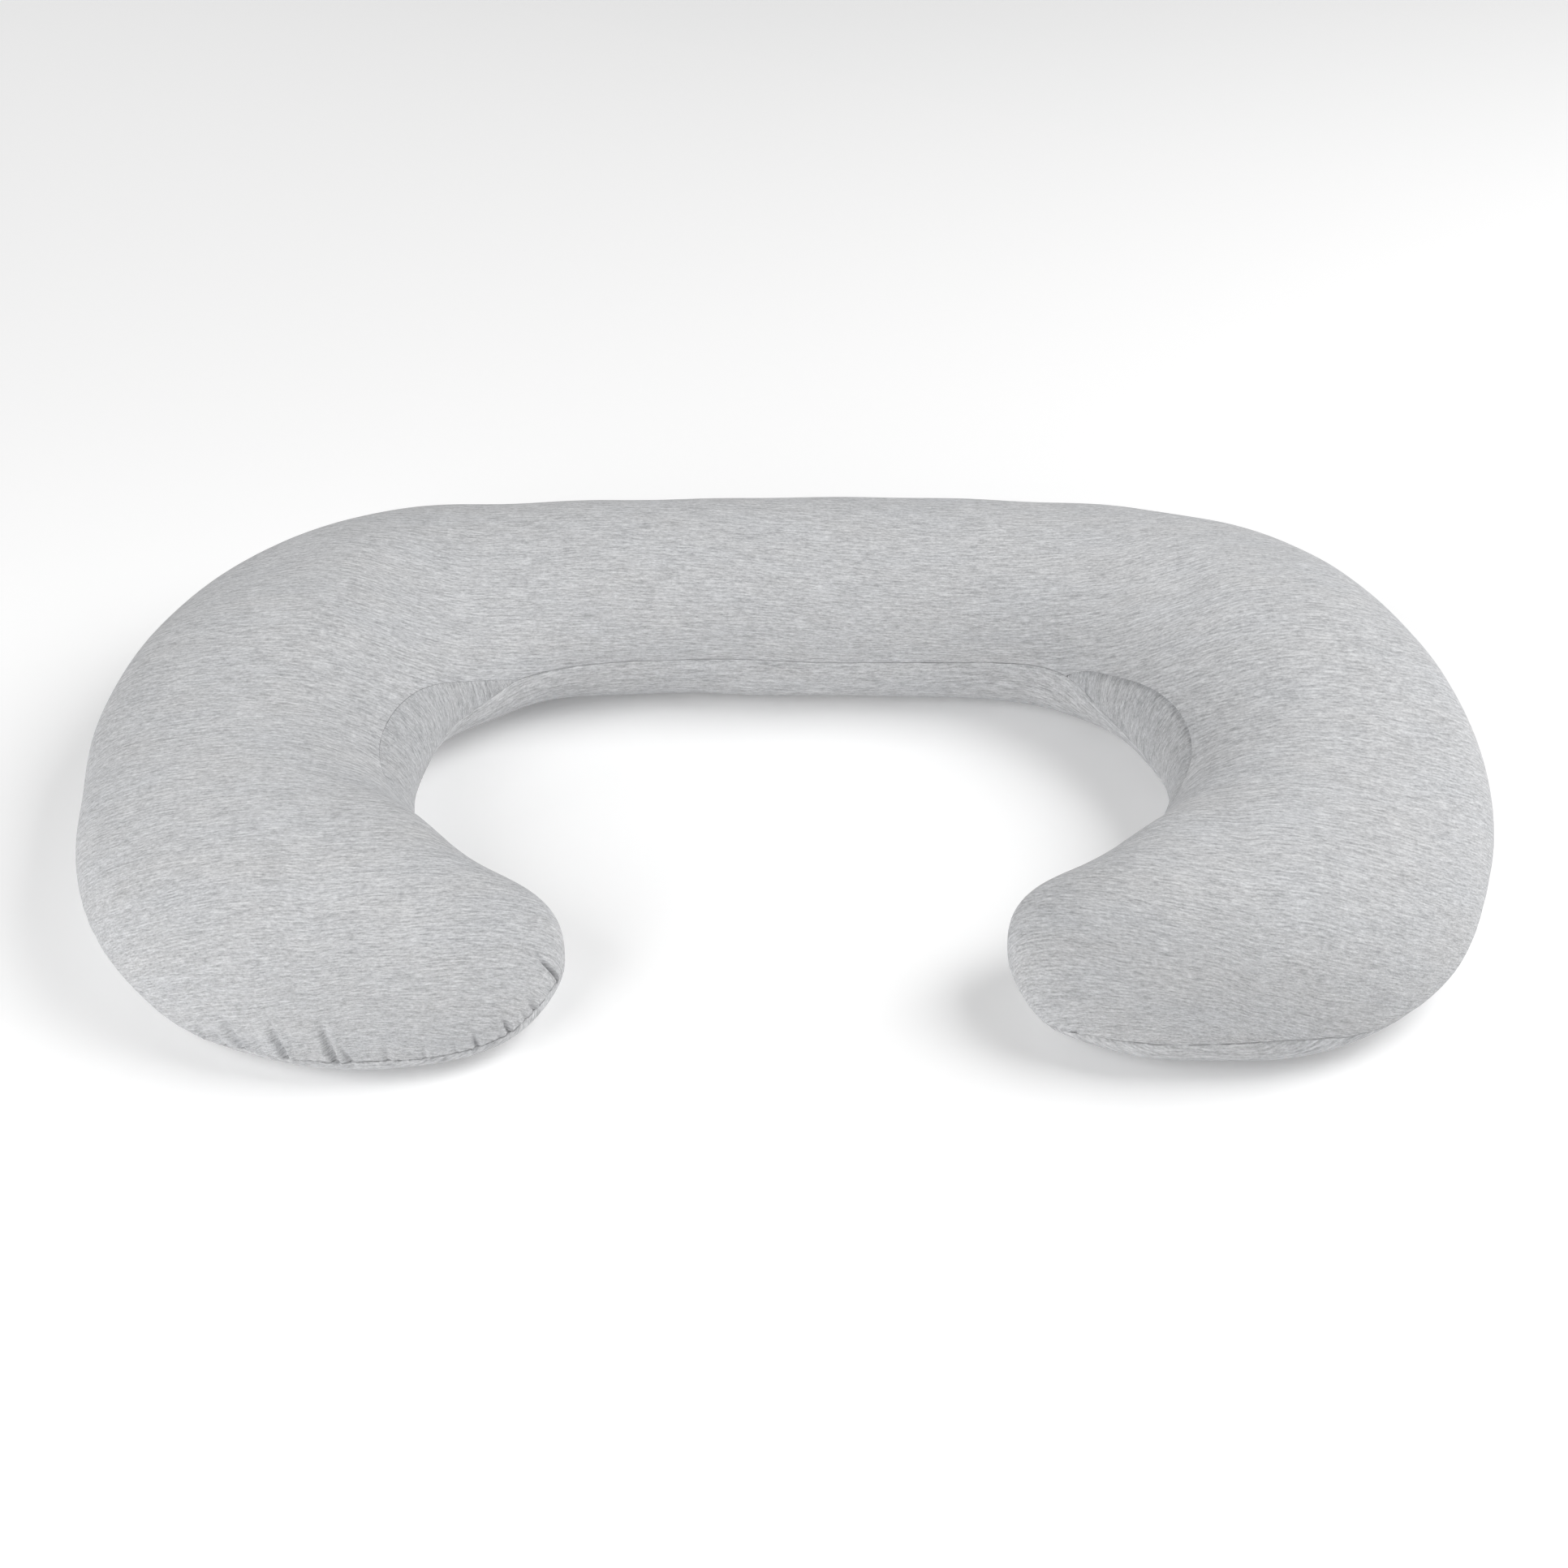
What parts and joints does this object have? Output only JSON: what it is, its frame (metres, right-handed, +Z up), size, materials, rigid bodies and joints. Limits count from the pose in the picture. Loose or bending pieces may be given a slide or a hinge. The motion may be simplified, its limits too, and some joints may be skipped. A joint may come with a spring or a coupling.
{
  "type": "body pillow",
  "caption": "C-shaped body pillow in soft heather grey jersey: a filled tube bent round an open hollow, with seams and lens-shaped gussets at the inner corners.",
  "frame": {"origin": "on the surface that the pillow lies on, under the middle of its box", "axes": "+X along the pillow's length from its left lobe to its right lobe, +Y towards its back, +Z up through its thickness"},
  "size_m": [1.3702, 0.7826, 0.18],
  "materials": {
    "cover": "heather grey cotton jersey, courses along the pillow's length, soft and matt",
    "gusset": "the same heather grey jersey, turned crosswise"
  },
  "bodies": {
    "root": {"pillow": "cover", "gusset_left": "gusset", "gusset_right": "gusset"}
  },
  "joints": []
}
